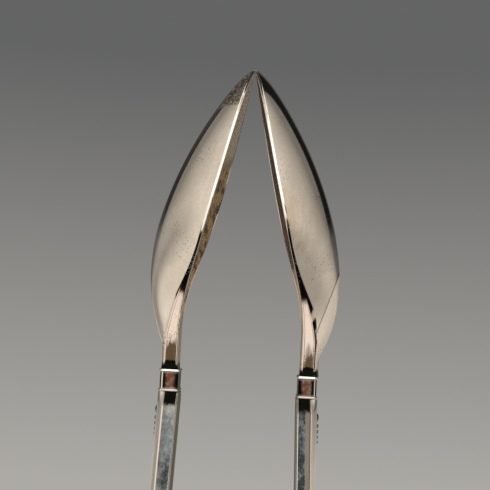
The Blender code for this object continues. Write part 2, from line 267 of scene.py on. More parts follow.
def newSurface(name, patterns):
    # a material, its graph, its place on the object and one noise for each pattern
    material = bpy.data.materials.new(name)
    material.use_nodes = True
    graph = Graph(material.node_tree)
    place = graph.node("TexCoord", output="Object")
    return material, graph, place, [graph.noise(place, *values) for values in patterns.values()]


def closeSurface(graph, colour, roughness, height, relief, metallic=1.0):
    # joins colour, roughness and height to one metal shader; relief is in metres
    normal = graph.node("Bump", {}, {"Strength": 1.0, "Distance": relief, "Height": height})
    shader = graph.node("BsdfPrincipled", {}, {
        "Base Color": colour, "Metallic": metallic, "Roughness": roughness, "Normal": normal,
    })
    graph.node("OutputMaterial", {}, {"Surface": shader})


polished = {
    "bright": (0.94, 0.92, 0.89),
    "hazed": (0.80, 0.77, 0.72),
    "smoky": (0.66, 0.62, 0.565),
    # painted pale reflection on the right heel
    "paintedPaleReflection": (0.88, 0.83, 0.77),
    "pink": (0.66, 0.56, 0.495),
    "yellowed": (0.66, 0.52, 0.32),
    "gilt": (0.62, 0.45, 0.24),
    "misted": (0.74, 0.68, 0.60),
    "rust": (0.17, 0.065, 0.04),
    # patina on the left tip, and also the dark painted reflection line on the right heel
    "patinaAndDarkReflection": (0.12, 0.105, 0.09),
    "walnut": (0.10, 0.063, 0.031),
    "brown": (0.07, 0.045, 0.022),
    # painted shade: black in the cove at the stem's foot
    "dark": (0.004, 0.004, 0.003),
    "roughness": 0.05,
    "relief": 0.000004,
    "patterns": {                # scale, detail and roughness of each noise
        "haze": (120, 4), "broad": ((330, 330, 60), 3), "mottle": (1500, 5, 0.75),
        "marks": ((2200, 2200, 110), 6, 0.7), "drawn": ((1100, 1100, 260), 4),
        "pitting": (130, 2), "specks": (3600, 3), "speckling": (170, 2),
    },
    "pitPlace": (1, 1, 0.6),
    "pitScale": 2300.0,
    "stemStain": {-1: 0.0, 1: 0.16},                      # more stain where this is less
    "yellowSpan": (0.1290, 0.1320, 0.1420, 0.1450),       # heights of the right rim's tarnish
    "heelEdge": (2.96, 0.0695, 0.0008),   # slope, height at x = 0 and unevenness of the edge of the right heel's painted reflection
    "patchSpan": (0.1621, 0.1627),        # height where the left tip's mottled patch starts
    "spotSpan": (0.140, 0.1607),          # heights over which spots thicken below the patch
}
# tints inside each rim, and the tint that takes over between two heights
linings = {
    -1: {"tints": ("walnut", "gilt"), "share": (0.40, 0.55), "end": "misted",
         "endSpan": (0.150, 0.154)},
    1: {"tints": ("brown", "rust"), "share": (0.42, 0.60), "end": "gilt",
        "endSpan": (0.1295, 0.1285)},
}


def spoonLining(graph, side, height, drawn, mottle, lip):
    # two tints mixed by drawn-out noise, a third past a height, and mist beyond the lip
    lining = linings[side]
    first, second = lining["tints"]
    mixed = drawn.rise(*lining["share"])
    end = (height + mottle * 0.001).rise(*lining["endSpan"])
    colour = graph.layered(polished, first, (mixed, second), (end, lining["end"]))
    return graph.blend(lip.rise(0.0, 0.5), polished["misted"], colour)


def paintedHeelReflection(graph, colour, place, mottle, onBack):
    # painted reflection: milky silver where z < slope * x + level, with a dark painted reflection
    # line along that edge
    slope, level, uneven = polished["heelEdge"]
    depth = graph.axis(place, "X") * slope - graph.axis(place, "Z") + level
    depth = depth + (mottle - 0.5) * uneven
    # painted reflection: milky silver below the edge and a dark line along it
    paintedPaleReflection = depth.rise(0.0, 0.0005) * onBack
    paintedReflectionLine = depth.absolute().rise(0.0005, 0.0001) * onBack
    colour = graph.layered(polished, colour, (paintedPaleReflection, "paintedPaleReflection"), (paintedReflectionLine * 0.7, "patinaAndDarkReflection"))
    return colour, paintedPaleReflection * 0.7


def mottledTip(graph, colour, height, haze, mottle, near, onBack):
    # dark mottled patch above a height that noise shifts, with mottled spots below it
    patch = (height + mottle * 0.0012 + haze * 0.002).rise(*polished["patchSpan"])
    spots = height.rise(*polished["spotSpan"]) * mottle.rise(0.50, 0.58) * (1 - near * 4)
    tint = graph.blend(mottle.rise(0.50, 0.66), polished["patinaAndDarkReflection"], polished["misted"])
    blotch = (patch + spots.clamped() * 0.5).clamped() * onBack
    return graph.blend(blotch, colour, tint), patch * onBack * 0.5


def polishedSilver(name, side):
    # Bright silver under soft, mottled and drawn-out noise; pits are small cells inside a
    # few noise clusters, and specks break the rim's edge. Yellow tarnish follows the nearRim
    # mark times noise, brown tarnish the stem and groove marks plus noise, and black painted
    # shade the cove mark at the stem's foot. The right heel carries a painted reflection, milky
    # below a line with a dark painted line along it, and the left tip is mottled.
    material, graph, place, patterns = newSurface(name, polished["patterns"])
    haze, broad, mottle, marks, drawn, pitting, specks, speckling = patterns
    rim, near, stem, groove, cove, shank, hollow, lip = graph.marks(
        "rim", "nearRim", "stem", "groove", "cove", "shank", "hollow", "lip"
    )
    height = graph.axis(place, "Z")
    cells = graph.node("TexVoronoi", {}, {
        "Vector": graph.stretched(place, polished["pitPlace"]), "Scale": polished["pitScale"],
    })
    pits = (cells + mottle * 0.3).rise(0.42, 0.28) * pitting.rise(0.56, 0.63)
    specks = specks.rise(0.60, 0.66) * rim * speckling.rise(0.50, 0.58)

    low, lowFull, highFull, high = polished["yellowSpan"]
    span = height.rise(low, lowFull) * height.rise(high, highFull) if side > 0 else 0.35
    yellow = near * (drawn * 0.7 + mottle * 0.3).rise(0.42, 0.58) * span
    colour = graph.layered(
        polished, "bright",
        (haze.rise(0.30, 0.70), "hazed"), (broad.rise(0.42, 0.72) * 0.75, "hazed"),
        (mottle.rise(0.45, 0.75) * 0.45, "smoky"), (marks.rise(0.50, 0.75) * 0.45, "smoky"),
        (yellow * 0.8, "yellowed"), (shank * 0.9, "pink"),
    )
    stain = (stem * 0.8 + drawn * 0.7).rise(0.66, 0.86 + polished["stemStain"][side])
    stain = (stain + groove * 0.85).clamped()
    brown = graph.blend(drawn.rise(0.42, 0.66), polished["brown"], polished["walnut"])
    colour = graph.blend(stain * 0.97, colour, brown)
    lining = spoonLining(graph, side, height, drawn, mottle, lip)
    colour = graph.blend(hollow * 0.9, colour, lining)
    if side > 0:
        onBack = (1 - shank) * (1 - hollow) * (1 - groove)
        # the right heel gets a painted reflection
        colour, tarnishAndPaintedReflection = paintedHeelReflection(graph, colour, place, mottle, onBack)
    else:
        onBack = (1 - rim) * (1 - hollow)
        colour, tarnishAndPaintedReflection = mottledTip(graph, colour, height, haze, mottle, near, onBack)
    dark = (pits + specks).clamped()
    # painted shade: black in the cove at the stem's foot, just above the collar, with a noisy
    # edge
    paintedCoveShade = (cove + drawn * 0.5 + mottle * 0.3).rise(0.80, 0.96)
    colour = graph.layered(polished, colour, (dark * 0.75, "brown"), (paintedCoveShade, "dark"))
    roughness = marks.rise(0.45, 0.75) * 0.04 + yellow * 0.05 + stain * 0.10 + dark * 0.2
    roughness = roughness + hollow * 0.15 + mottle * 0.03 + polished["roughness"]
    bumps = marks * 0.3 - pits * 2.0 - specks + mottle * 0.3
    metallic = 1 - (tarnishAndPaintedReflection + hollow * 0.8).clamped()
    closeSurface(graph, colour, roughness, bumps, polished["relief"], metallic)
    return material


collarFinish = {
    "bright": (0.93, 0.90, 0.85),
    "rosy": (0.24, 0.185, 0.155),
    "red": (0.14, 0.055, 0.032),
    "dark": (0.005, 0.004, 0.004),
    "darkFrom": (0.6, 1.1),      # distance from the recess's middle where it blackens
    "shift": 0.25,               # how far that middle lies inside the collar's
    "relief": 0.000004,
    "patterns": {"patches": (380, 3, 0.5), "fine": (2400, 4, 0.65)},
}


def collarSilver(name):
    # Polished silver whose recess is rosy and rust coloured in patches of noise, and black
    # near its two sides: rise of the distance from its middle plus noise.
    material, graph, place, patterns = newSurface(name, collarFinish["patterns"])
    patches, fine = patterns
    (recess,) = graph.marks("recess")
    out = graph.axis(place, "X").absolute() * (1 / mm)
    aside = (out - shoulderOffset + collarFinish["shift"]).absolute() + (patches - 0.5) * 0.6
    stained = graph.layered(
        collarFinish, "rosy", (patches.rise(0.44, 0.58), "red"),
        (fine.rise(0.48, 0.70) * 0.7, "dark"), (aside.rise(*collarFinish["darkFrom"]), "dark"),
    )
    colour = graph.blend(recess, collarFinish["bright"], stained)
    colour = graph.blend(fine.rise(0.5, 0.8) * 0.15, colour, collarFinish["red"])
    roughness = 0.07 + recess * 0.12 + fine * 0.04
    closeSurface(graph, colour, roughness, patches + fine * 0.3, collarFinish["relief"])
    return material


wornFinish = {
    "clean": (0.90, 0.87, 0.83),
    "blue": (0.17, 0.205, 0.225),
    "deep": (0.04, 0.05, 0.057),
    "pale": (0.44, 0.44, 0.40),
    "speck": (0.74, 0.78, 0.78),
    "black": (0.004, 0.004, 0.003),
    "olive": (0.11, 0.10, 0.075),
    "sand": (0.25, 0.22, 0.185),
    "tone": {-1: 0.035, 1: -0.05},        # the left arm's flats are the paler ones
    "paleSpan": (0.0968, 0.0985),         # and paler still above these heights
    "sandy": {-1: 0.25, 1: 0.9},          # sandy tint of the flats' outer third
    "relief": 0.000006,
    "patterns": {
        "broad": ((380, 380, 171), 4, 0.6), "middle": (950, 5, 0.7),
        "small": (2600, 4, 0.7), "scratches": ((2600, 2600, 140), 5, 0.7),
    },
}


def wornSilver(name, side):
    # Handled silver: its flats are blue-grey with darker and paler clouds from two sizes
    # of noise, on the left arm paler towards the collar, sandy along their outer third, with
    # light specks where small noise peaks; edges are rubbed clean, the inner face is olive,
    # and the flats' tops are black.
    material, graph, place, patterns = newSurface(name, wornFinish["patterns"])
    broad, middle, small, scratches = patterns
    edge, flank, top, inner, outward = graph.marks(
        "edge", "flank", "topStain", "innerFace", "across"
    )
    height = graph.axis(place, "Z")
    stain = (flank * 0.96 + 0.04) * (1 - edge.rise(0.1, 0.7))
    tone = (broad * 0.6 + middle * 0.4) + wornFinish["tone"][side]
    if side < 0:
        tone = tone + height.rise(*wornFinish["paleSpan"]) * 0.10
    sandy = (outward + middle * 0.3).rise(0.74, 0.86) * wornFinish["sandy"][side]
    grey = graph.layered(
        wornFinish, "deep", (tone.rise(0.44, 0.56), "blue"), (tone.rise(0.58, 0.70), "pale"),
        (small.rise(0.62, 0.72) * 0.7, "speck"), (sandy, "sand"),
    )
    topped = (top + middle * 1.2).rise(0.85, 1.35) * (1 - edge * 0.6)
    colour = graph.layered(
        wornFinish, graph.blend(stain, wornFinish["clean"], grey),
        (scratches.rise(0.55, 0.80) * 0.25, "blue"), (inner * 0.85, "olive"), (topped, "black"),
    )
    roughness = 0.10 + stain * 0.14 + scratches.rise(0.5, 0.8) * 0.08
    closeSurface(graph, colour, roughness, small * 0.5 + scratches, wornFinish["relief"])
    return material


oxideFinish = {
    "raised": (0.78, 0.76, 0.72),
    "ground": (0.05, 0.047, 0.045),
    "relief": 0.00001,
    "patterns": {"fine": (2200, 4, 0.65)},
}


def oxidisedSilver(name):
    # dark ground, with silver where the rubbed mark plus noise is high
    material, graph, _, (fine,) = newSurface(name, oxideFinish["patterns"])
    (rubbed,) = graph.marks("rubbed")
    worn = (rubbed + (fine - 0.5) * 0.7).rise(0.35, 0.85)
    colour = graph.blend(worn, oxideFinish["ground"], oxideFinish["raised"])
    closeSurface(graph, colour, 0.42 - worn * 0.24, fine, oxideFinish["relief"])
    return material


springFinish = {
    "bright": (0.90, 0.88, 0.84),
    "dull": (0.66, 0.63, 0.58),
    "relief": 0.000008,
    "patterns": {"broad": (210, 5), "drawn": ((130, 3200, 130), 5, 0.7), "small": (1500, 3)},
}


def springSilver(name):
    # rolled strip: cross-strip noise drawn out along the bend, dulled by broad noise
    material, graph, _, (broad, drawn, small) = newSurface(name, springFinish["patterns"])
    (edge,) = graph.marks("edge")
    dull = broad.rise(0.36, 0.66) * (1 - edge * 0.7)
    streaks = drawn.rise(0.55, 0.75) * 0.3
    colour = graph.layered(springFinish, "bright", (dull, "dull"), (streaks, "dull"))
    roughness = 0.14 + dull * 0.12 + drawn.rise(0.4, 0.8) * 0.08
    closeSurface(graph, colour, roughness, drawn + small * 0.3, springFinish["relief"])
    return material


spoon = {
    "tipOffset": 0.04,           # each tip's distance from the middle
    "rimOffset": 0.1,            # the rim line's offset below the tips
    "rimSlant": math.radians(14.3),
    "rimStraight": 45.2,
    "rimArc": 10.0,
    "rimBow": 0.8,               # the rim line bows this far towards the middle
    "rimBowEnd": 56.0,
    "bowPower": 1.3,
    "halfWidth": 12.5,
    "tipHalfWidth": 0.3,
    "widthPower": 0.7,
    "widest": 30.0,
    "bowlEnd": 55.5,
    "deepest": 37.0,
    "bulgeEnd": 62.0,
    "upperPower": 0.78,
    "heelPower": {"left": 1.3, "right": 1.0},     # smaller keeps the heel fuller
    "bulge": 8.8,
    "stemCrown": {"left": 0.4, "right": 0.7},     # how far the stem's back is rounded out
    "backFullness": 0.92,        # below 1, so that the back meets the rim at an angle
    "backPower": 0.85,
    "wall": 1.05,
    "hollowDeepest": 36.0,
    "hollowEnd": 55.0,
    "hollowPower": 0.78,
    "rimThickness": 0.62,
    "tipThickness": 0.45,
    "rimFace": 0.4,
    "swellsFrom": 39.0,
    "swellsTo": 58.0,
    "swellPower": 1.5,
    "stemThickness": 3.1,
    "stemHalfWidth": 2.9,
    "flareLength": 1.7,
    "flareSpread": 0.4,
    "coveShadeHeight": 1.6,          # height of the black painted shade above the collar
    "stainLength": 9.5,          # and of the brown stain that fades above it
    "rimRounding": 0.16,
    "stemRounding": 0.42,
    "tangHalfThickness": 0.9,
    "tangHalfWidth": 1.9,
    "tangLength": 9.0,
    "tipDome": 0.12,
    "flareLift": 0.4,            # share of the flare by which the stem also thickens
}
sectionSteps = {"back": 44, "corner": 8, "hollow": 40}     # points along half a section
sidePlaces = (0.02, 0.07, 0.13, 0.3, 0.5, 0.7, 0.87, 0.93, 0.98)     # across the side face
rimPlaces = (0.1, 0.5, 0.9)      # across the rim's face
collarLow, collarHigh = boxOf("right_collar")
shoulderOffset = (collarLow[0] + collarHigh[0]) / 2
collarFoot = collarLow[2]
gap = 0.3                        # clearance between the CAD pieces
ledge = collarHigh[2] + gap
tipHeight = boxOf("right_spoon")[1][2] - spoon["rimThickness"] * math.sin(spoon["rimSlant"])


def levelRings(side, u, y, heights):
    # rings (u, y) about the shoulder's upright axis, one at each height
    x = side * (shoulderOffset + u)
    return np.stack([x, y, np.array(heights)[:, None] * np.ones(x.shape)], -1)


def rimBowAt(distance):
    # sine of a power of the distance
    t = np.clip(distance / spoon["rimBowEnd"], 0, 1)
    return spoon["rimBow"] * np.sin(np.pi * t ** spoon["bowPower"])


def rimLine(distance):
    # straight but for the bow from the tip, then an arc that turns upright: (out, up, slant)
    s = spoon
    radius = s["rimArc"] / s["rimSlant"]
    straight = np.minimum(distance, s["rimStraight"])
    out = mix(s["tipOffset"], s["rimOffset"], smooth(distance / 10))
    out = out + straight * math.sin(s["rimSlant"])
    turned = np.clip(distance - s["rimStraight"], 0, s["rimArc"]) / radius
    slant = s["rimSlant"] - turned
    out = out + radius * (np.cos(slant) - math.cos(s["rimSlant"]))
    up = tipHeight - straight * math.cos(s["rimSlant"])
    up = up - radius * (math.sin(s["rimSlant"]) - np.sin(slant))
    up = up - np.maximum(distance - s["rimStraight"] - s["rimArc"], 0)
    return out - rimBowAt(distance), up, slant


def spoonLength():
    # the rim line's length from the tip down to the collar
    s = spoon
    radius = s["rimArc"] / s["rimSlant"]
    drop = s["rimStraight"] * math.cos(s["rimSlant"]) + radius * math.sin(s["rimSlant"])
    return s["rimStraight"] + s["rimArc"] + tipHeight - ledge - drop


def halfWidthAt(distance):
    # sine of a power of the distance up to the widest place, then a raised cosine
    s = spoon
    rise = np.sin(np.pi / 2 * np.minimum(distance / s["widest"], 1) ** s["widthPower"])
    t = share(distance, s["widest"], s["bowlEnd"])
    below = mix(s["stemHalfWidth"], s["halfWidth"], 0.5 + 0.5 * np.cos(np.pi * t))
    return np.where(distance < s["widest"], mix(s["tipHalfWidth"], s["halfWidth"], rise), below)


def bulgeAt(distance, label="left", crown=0.0):
    # powers of a sine down to the deepest place and of a cosine below it, never
    # under the crown there: sqrt(bulge^2 + crown^2)
    s = spoon
    above = np.sin(np.pi / 2 * np.minimum(distance / s["deepest"], 1)) ** s["upperPower"]
    t = share(distance, s["deepest"], s["bulgeEnd"])
    below = np.maximum(np.cos(np.pi / 2 * t), 0) ** s["heelPower"][label]
    bulge = s["bulge"] * np.where(distance < s["deepest"], above, below) + rimBowAt(distance)
    return np.sqrt(bulge ** 2 + (crown * t) ** 2)


def rimThicknessAt(distance):
    # the tip's thickness eases into the rim's, which swells into the stem's by a power
    s = spoon
    swell = share(distance, s["swellsFrom"], s["swellsTo"])
    thin = mix(s["tipThickness"], s["rimThickness"], smooth(distance / 5))
    return mix(thin, s["stemThickness"], swell ** s["swellPower"])


def hollowAt(distance):
    # follows the back a wall's thickness inside it, then a cosine to the bowl's end
    s = spoon
    held = np.minimum(distance, s["hollowDeepest"])
    depth = np.maximum(bulgeAt(held) + s["rimThickness"] - s["wall"], 0)
    t = share(distance, s["hollowDeepest"], s["hollowEnd"])
    return depth * np.maximum(np.cos(np.pi / 2 * t), 0)


def spoonSection(halfWidth, rim, bulge, depth, lift, face, corner):
    # One closed ring (y, off) for each row. The back is rim + bulge * ((1-kt^2)^p - c) / (1-c),
    # with c = (1-k)^p; then a rounded corner, the side face, a rounded corner, the rim's
    # face, and the hollow depth * (1-t^2)^q. The other half mirrors it.
    k, power, steps = spoon["backFullness"], spoon["backPower"], sectionSteps
    rows = (halfWidth, rim, bulge, depth, lift, face, corner)
    halfWidth, rim, bulge, depth, lift, face, corner = (
        np.asarray(row, float)[:, None] for row in rows
    )
    corner = np.minimum(corner, 0.4 * np.minimum(halfWidth, rim))
    cornerBack = corner * mix(1.0, 0.45, np.clip(bulge / 4, 0, 1))
    across = np.sin(np.linspace(0, np.pi / 2, steps["back"]))[None, :]
    across = across * (1 - cornerBack / halfWidth)
    end = (1 - k) ** power
    shape = ((1 - k * across ** 2) ** power - end) / (1 - end)
    back = np.stack([halfWidth * across, rim + lift + bulge * shape], -1)

    def point(y, off):
        return np.concatenate([y, off], axis=-1)

    sideTop = point(halfWidth, rim + lift - corner)
    sideFoot = point(halfWidth, corner - lift)
    faceOuter = point(halfWidth - corner, -lift)
    faceInner = point(halfWidth - face, -lift)
    outerArc = rounding(back[:, -1], point(halfWidth, rim + lift), sideTop, steps["corner"])
    innerArc = rounding(sideFoot, point(halfWidth, -lift), faceOuter, steps["corner"])
    side = mix(sideTop[:, None], sideFoot[:, None], np.array(sidePlaces)[:, None])
    rimFace = mix(faceOuter[:, None], faceInner[:, None], np.array(rimPlaces)[:, None])
    t = np.sin(np.linspace(np.pi / 2, 0, steps["hollow"]))[None, :]
    hollow = depth * np.maximum(1 - t * t, 0) ** spoon["hollowPower"] - lift
    inside = np.stack([(halfWidth - face) * t, hollow], -1)
    half = np.concatenate([back, outerArc[:, 1:], side, innerArc, rimFace, inside], axis=1)
    other = half[:, -2:0:-1] * np.array([-1, 1])
    return np.concatenate([half, other], axis=1)


def spoonMarks(distance, ringCount):
    # Each mark is a profile round the section times one along the spoon: rim is the side
    # face of the bowl, nearRim fades from it over the back, shank is the stem's side, stem
    # its stained foot, groove a line inside each of its edges, cove its very foot, hollow
    # the inside of the bowl and lip the part of it next to the rim.
    s, steps = spoon, sectionSteps
    place = np.arange(ringCount)
    place = np.minimum(place, ringCount - place)            # the second half mirrors the first
    sideStart = steps["back"] + steps["corner"] - 1
    sideEnd = sideStart + len(sidePlaces)
    plain = 2                                               # unmarked points at each end
    hollowStart = sideEnd + steps["corner"] + len(rimPlaces) + plain
    onSide = (place >= steps["back"] + plain) & (place < sideEnd + steps["corner"] - plain)
    toRim = (place / (steps["back"] - 1)) ** 2.6 * (place < steps["back"])
    line = np.isin(place, (sideStart + 1, sideEnd - 2))
    inside = place >= hollowStart
    lipPoints = 13
    lip = np.clip(1 - (place - hollowStart) / lipPoints, 0, 1) * inside
    middle = np.zeros(ringCount // 2 + 1)
    middle[sideStart:sideEnd] = 1 - 0.45 * (2 * np.array(sidePlaces) - 1) ** 2
    middle = middle[place]

    left = (distance[-1] - distance - s["coveShadeHeight"])[:, None]
    past = (distance - s["rimStraight"])[:, None]
    full = np.ones(left.shape)
    bowl = 1 - smooth(past / 3)
    shank = smooth(past / 4)
    return {
        "rim": onSide * bowl, "nearRim": toRim * bowl, "shank": onSide * shank,
        "groove": line * shank, "hollow": inside * full, "lip": lip * full,
        "stem": middle * (1 - smooth(left / s["stainLength"])),
        # the cove mark carries the painted shade at the stem's foot
        "cove": (0.6 + 0.4 * middle) * (1 - smooth((left + 1.0) / 2.4)),
    }


def makeSpoon(label, side):
    # The section carried down the rim line, with a dome over the tip, a quarter-circle
    # flare at the stem's foot, and the straight tang below it.
    s = spoon
    length = spoonLength()
    flareStart = length - s["flareLength"]
    distance = stations(
        (0.0, 2.0, 14), (2.0, 12.0, 34), (12.0, 40.0, 60), (40.0, flareStart, 60),
        (flareStart, length - 0.3, 16), (length - 0.3, length, 8),
    )
    out, up, slant = rimLine(distance)
    toFoot = np.clip((length - distance) / s["flareLength"], 0, 1)
    flare = s["flareSpread"] * (1 - np.sqrt(1 - (1 - toFoot) ** 2))
    stem = smooth(share(distance, s["swellsFrom"], s["swellsTo"]))
    corner = mix(s["rimRounding"], s["stemRounding"], stem)
    halfWidth = halfWidthAt(distance) + flare
    rim = rimThicknessAt(distance)
    face = np.minimum(s["rimFace"], 0.5 * halfWidth)
    face = np.maximum(face, corner)
    bulge = bulgeAt(distance, label, s["stemCrown"][label])
    ring = spoonSection(
        halfWidth, rim, bulge, hollowAt(distance), flare * s["flareLift"], face, corner
    )
    x = side * (out[:, None] + ring[..., 1] * np.cos(slant)[:, None])
    z = up[:, None] + ring[..., 1] * np.sin(slant)[:, None]
    body = np.stack([x, ring[..., 0], z], -1)

    full = np.ones(2)
    tangRing = spoonSection(
        full * s["tangHalfWidth"], full * 2 * s["tangHalfThickness"], full * 0, full * 0,
        full * 0, full * 0.2, full * 0.15,
    )
    tangU = tangRing[..., 1] - s["tangHalfThickness"]
    tang = levelRings(side, tangU, tangRing[..., 0], [ledge, ledge - s["tangLength"]])
    tipAxis = (-side * math.sin(s["rimSlant"]), 0.0, math.cos(s["rimSlant"]))
    tip = domedEnd(body[0], tipAxis, s["tipDome"])[::-1]
    points = np.concatenate([tip, body, tang])
    marks = spoonMarks(distance, ring.shape[1])
    marks = {key: np.concatenate([mark[[0] * len(tip)], mark, mark[[-1] * len(tang)]])
             for key, mark in marks.items()}
    piece = gridPiece(f"{label}_spoon_shell", points, silvers[f"{label}Spoon"], marks)
    settle(piece, f"{label}_spoon", f"{label}_arm")


collar = {
    "halfThickness": 2.1,
    "halfWidth": 3.95,
    "lip": 0.62,                 # height of the round moulding at each end
    "waist": 0.2,                # how far the middle lies inside the mouldings
    "lowerStain": 0.5,           # share of the recess's stain on the lower moulding
    "outerChamfer": 0.5,
    "innerChamfer": 0.2,
    "clearance": 0.02,
}


def chamferedCorners(halfU, halfY, outerChamfer, innerChamfer):
    # eight (u, y) corners of a chamfered rectangle for each row
    a, b = halfU - outerChamfer, halfY - outerChamfer
    c, d = halfU - innerChamfer, halfY - innerChamfer
    return cornerRows(
        (halfU, -b), (halfU, b), (a, halfY), (-c, halfY),
        (-halfU, d), (-halfU, -d), (-c, -halfY), (a, -halfY),
    )


def boreRings(count):
    # the square hole for the tang, as rings with the outline's number of points
    halfU = spoon["tangHalfThickness"] + collar["clearance"]
    halfY = spoon["tangHalfWidth"] + collar["clearance"]
    full = np.ones(count)
    return roundedOutline(chamferedCorners(full * halfU, full * halfY, 0.05, 0.05), 0.02)[0]


def makeCollar(label, side):
    # moulding profile: inset = waist * (1 - roll), where roll is a half circle at each lip
    c = collar
    top = ledge - c["clearance"]
    height = top - collarFoot
    up = stations((0, c["lip"], 12), (c["lip"], height - c["lip"], 10),
                  (height - c["lip"], height, 12))
    end = np.minimum(up, height - up)
    across = np.clip(end / c["lip"], 0, 1)
    roll = np.sqrt(np.maximum(1 - (2 * across - 1) ** 2, 0))
    inset = c["waist"] * (1 - roll)
    inset = np.where(end < c["lip"], inset, c["waist"])
    corners = chamferedCorners(
        c["halfThickness"] - inset, c["halfWidth"] - inset, c["outerChamfer"], c["innerChamfer"]
    )
    ring, edge = roundedOutline(corners, 0.22)
    recess = smooth((end - c["lip"] * 0.7) / (c["lip"] * 0.4))
    ring = np.concatenate([ring, boreRings(2)])
    z = np.concatenate([up, [height, 0.0]]) + collarFoot
    points = levelRings(side, ring[..., 0], ring[..., 1], z)
    blank = np.zeros((2, edge.shape[1]))
    lowerLip = c["lowerStain"] * (up < c["lip"])
    kept = np.maximum(recess, lowerLip)[:, None] * (1 - edge * (ring[:len(edge), :, 0] > 0))
    marks = {"edge": np.concatenate([edge, blank]), "recess": np.concatenate([kept, blank])}
    piece = gridPiece(f"{label}_collar_moulding", points, silvers["collar"], marks, wrapRows=True)
    settle(piece, f"{label}_collar", f"{label}_arm")


arm = {
    "lean": math.radians(2.0),
    "halfWidth": 4.8,
    "halfThickness": 2.15,
    "sideFlat": 2.8,
    "innerChamfer": 0.3,
    "panel": 2.3,
    "coveLength": 2.3,
    "coveDepth": 1.1,
    "taperStart": 38.0,
    "lapStart": 62.5,
    "lapThickness": 1.7,
    "lapHalfWidth": 5.0,
    "lapPanel": 3.2,
    "lapRoundStart": 71.0,
    "length": 75.0,
    "edgeRounding": 0.42,
    "innerRounding": 0.12,
    "topStain": 1.3,             # length of the dark stain under the collar
    "stainFade": 2.4,
    "bevelCrown": 0.16,
    "panelCrown": 0.05,
    "stripThickness": 1.2,
}
stripOuter = -arm["halfThickness"] + arm["stripThickness"]
lapInner = stripOuter + collar["clearance"]
lapOuter = stripOuter + gap + arm["lapThickness"]


def armPoints(side, u, y, v):
    # v runs down the leaning centre line and u points away from the middle
    lean = arm["lean"]
    out = shoulderOffset + v * math.sin(lean) + u * math.cos(lean)
    up = collarFoot - v * math.cos(lean) + u * math.sin(lean)
    return np.stack(np.broadcast_arrays(side * out, y, up), -1)


def makeArm(label, side):
    # Eight-cornered section (outer panel, bevels, side flats, inner face) down the arm. An
    # ogee smooth(t) spreads its top, and the lap's end closes as a cosine.
    a = arm
    startV = collar["clearance"]
    coveEnd = startV + a["coveLength"]
    lapStart = a["lapStart"]
    roundStart, step = a["lapRoundStart"], 0.1          # close stations at the lap's step
    v = stations(
        (startV, coveEnd, 26), (coveEnd, a["taperStart"], 40),
        (a["taperStart"], lapStart - step, 26), (lapStart - step, lapStart, 6),
        (lapStart + 0.001, lapStart + step, 4), (lapStart + step, roundStart, 12),
        (roundStart, roundStart + 3.0, 18), (roundStart + 3.0, a["length"], 24),
    )
    cove = a["coveDepth"] * (1 - smooth((v - startV) / a["coveLength"]))
    taper = share(v, a["taperStart"], lapStart)
    halfWidth = mix(a["halfWidth"], a["lapHalfWidth"], taper) - cove
    reach = share(v, roundStart, a["length"])
    close = np.sqrt(np.maximum(1 - reach ** 2, 0.0004))
    halfWidth = halfWidth * close
    panel = mix(a["panel"], a["lapPanel"], taper) * close
    outer = mix(a["halfThickness"], lapOuter, taper)
    inner = np.where(v <= lapStart, -a["halfThickness"], lapInner)
    sideEnd = -a["halfThickness"] + a["innerChamfer"] + a["sideFlat"]
    sideEnd = mix(sideEnd, (lapInner + lapOuter) / 2, taper)
    chamfer = a["innerChamfer"] * close
    corners = cornerRows(
        (outer, -panel), (outer, panel), (sideEnd, halfWidth), (inner + chamfer, halfWidth),
        (inner, halfWidth - chamfer), (inner, chamfer - halfWidth),
        (inner + chamfer, -halfWidth), (sideEnd, -halfWidth),
    )
    big, fine = a["edgeRounding"], a["innerRounding"]
    trims = np.array([big, big, big, fine, fine, fine, fine, big])
    crowns = np.array([a["panelCrown"], a["bevelCrown"], 0, 0, 0, 0, 0, a["bevelCrown"]])
    ring, edge = roundedOutline(corners, trims, crowns * (1 - taper)[:, None])
    body = armPoints(side, ring[..., 0], ring[..., 1], v[:, None])

    hole = boreRings(2)
    floor = ledge - spoon["tangLength"] - gap
    mouth = body[0][:, 2].mean()
    socket = levelRings(side, hole[..., 0], hole[..., 1], [floor, mouth])
    points = np.concatenate([socket, body])
    flat = np.abs(ring[..., 1]) > 0.97 * halfWidth[:, None]
    blank = np.zeros((2, ring.shape[1]))
    topStain = (1 - smooth((v - a["topStain"]) / a["stainFade"]))[:, None] * flat
    innerFace = (ring[..., 0] < (inner + 0.02)[:, None]) * (1 - taper)[:, None]
    across = np.clip((ring[..., 0] - inner[:, None]) / a["sideFlat"], 0, 1)
    marks = {"edge": edge, "flank": flat, "topStain": topStain, "innerFace": innerFace,
             "across": across}
    marks = {key: np.concatenate([blank, mark]) for key, mark in marks.items()}
    piece = gridPiece(f"{label}_arm_bar", points, silvers[f"{label}Arm"], marks)
    settle(piece, f"{label}_arm", f"{label}_arm")


ornament = {
    "leafStart": 2.9,
    "leafLength": 2.0,
    "leafHalfWidth": 1.15,
    "leafHeight": 0.62,
    "veins": 4,
    "ribWidth": 0.16,            # as a share of the half width
    "beadCount": 4,
    "beadSpace": 0.3,
    "beadRadius": 0.45,
    "beadStepDown": 0.04,
    "fillet": (1.18, 1.14),      # radii of each bead's foot, as shares of its own
    "sunk": 0.08,                # how far a bead's foot reaches into the arm
}


